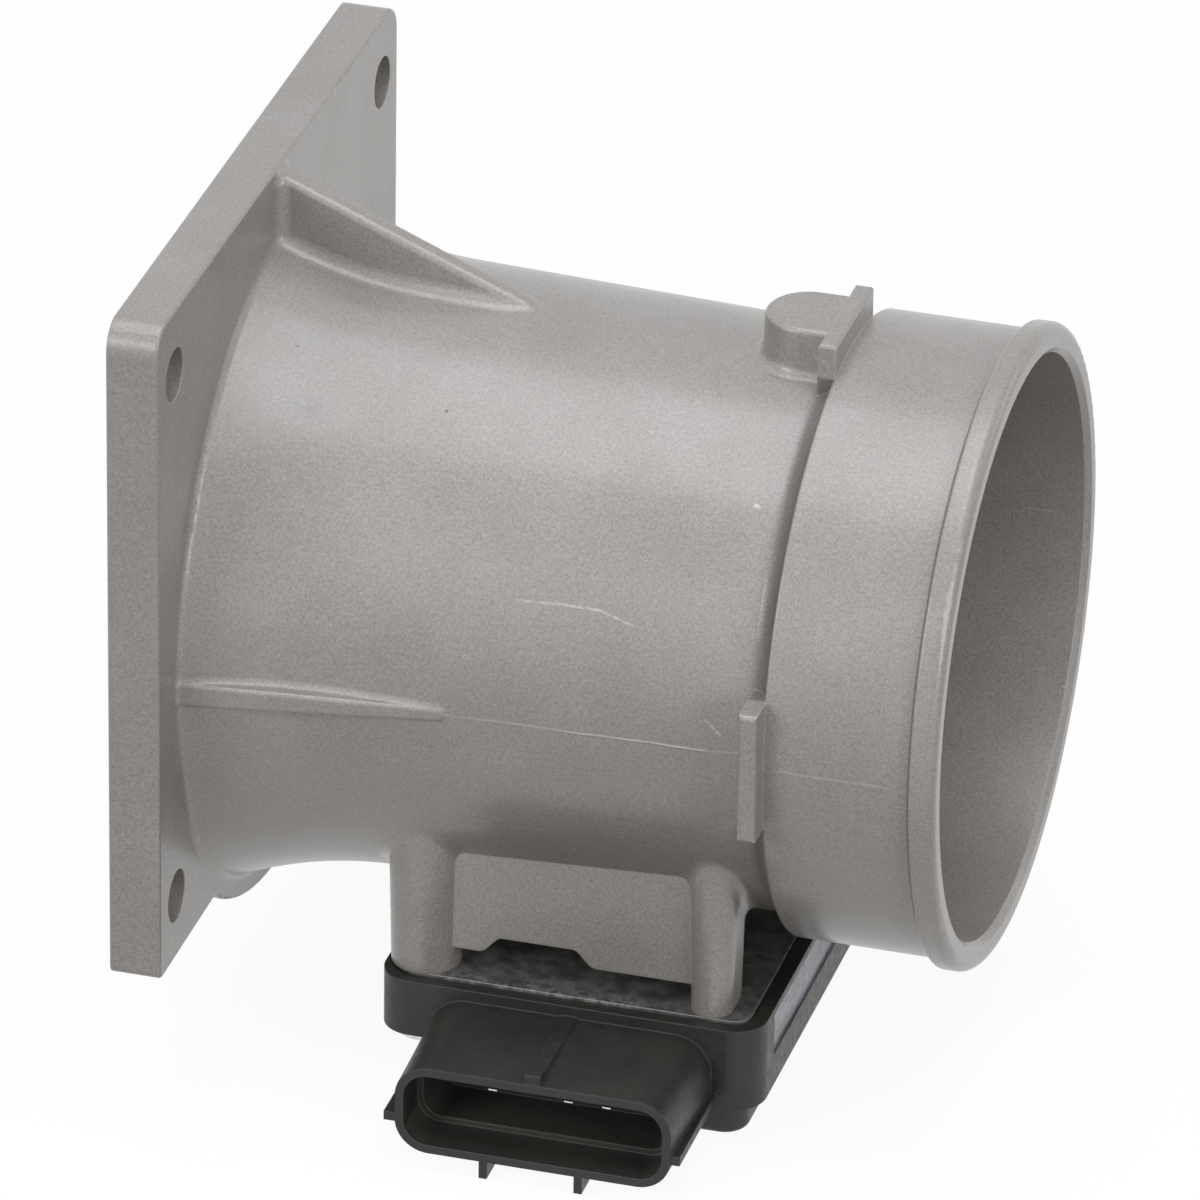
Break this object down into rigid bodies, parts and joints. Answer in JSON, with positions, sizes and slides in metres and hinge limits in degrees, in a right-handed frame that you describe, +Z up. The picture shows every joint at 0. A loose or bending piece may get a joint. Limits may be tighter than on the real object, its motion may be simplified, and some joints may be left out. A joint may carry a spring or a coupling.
{
  "type": "mass airflow sensor",
  "caption": "Cast metal air-flow tube with a square mounting flange, a beaded hose end and a black electronics module with a plug socket below it.",
  "frame": {"origin": "centre of the bore on the flange's mating face", "axes": "+X along the bore from the flange to the hose end, +Z up, away from the electronics module, and -Y towards the mouth of the plug socket"},
  "size_m": [0.1087, 0.1055, 0.1175],
  "materials": {
    "cast_aluminium": "blasted matt casting",
    "screen_steel": "satin wire",
    "spring_steel": "drawn wire",
    "black_plastic": "moulded satin",
    "plate_metal": "dulled, with bright cut edges",
    "lid_plastic": "moulded matt",
    "board_ceramic": "coated",
    "chip_resin": "moulded resin",
    "capacitor_body": "fired",
    "probe_plastic": "moulded satin",
    "seal_rubber": "matt",
    "terminal_tin": "tin plated",
    "element_glaze": "glazed winding",
    "screw_steel": "zinc plated"
  },
  "bodies": {
    "root": {"cast_housing": "cast_aluminium", "inlet_screen": "screen_steel", "screen_retaining_ring": "spring_steel", "module_frame": "black_plastic", "base_plate": "plate_metal", "module_lid": "lid_plastic", "circuit_board": "board_ceramic", "control_chip": "chip_resin", "power_transistor": "chip_resin", "capacitor_1": "capacitor_body", "capacitor_2": "capacitor_body", "capacitor_3": "capacitor_body", "probe_body": "probe_plastic", "probe_seal": "seal_rubber", "terminal_pin_1": "terminal_tin", "terminal_pin_2": "terminal_tin", "terminal_pin_3": "terminal_tin", "lead_strip_1": "terminal_tin", "lead_strip_2": "terminal_tin", "lead_strip_3": "terminal_tin", "heated_element": "element_glaze", "reference_element": "element_glaze", "element_prong_1": "spring_steel", "element_prong_2": "spring_steel", "element_prong_3": "spring_steel", "element_prong_4": "spring_steel", "module_screw_1": "screw_steel", "module_screw_2": "screw_steel", "module_screw_3": "screw_steel", "module_screw_4": "screw_steel"}
  },
  "joints": []
}
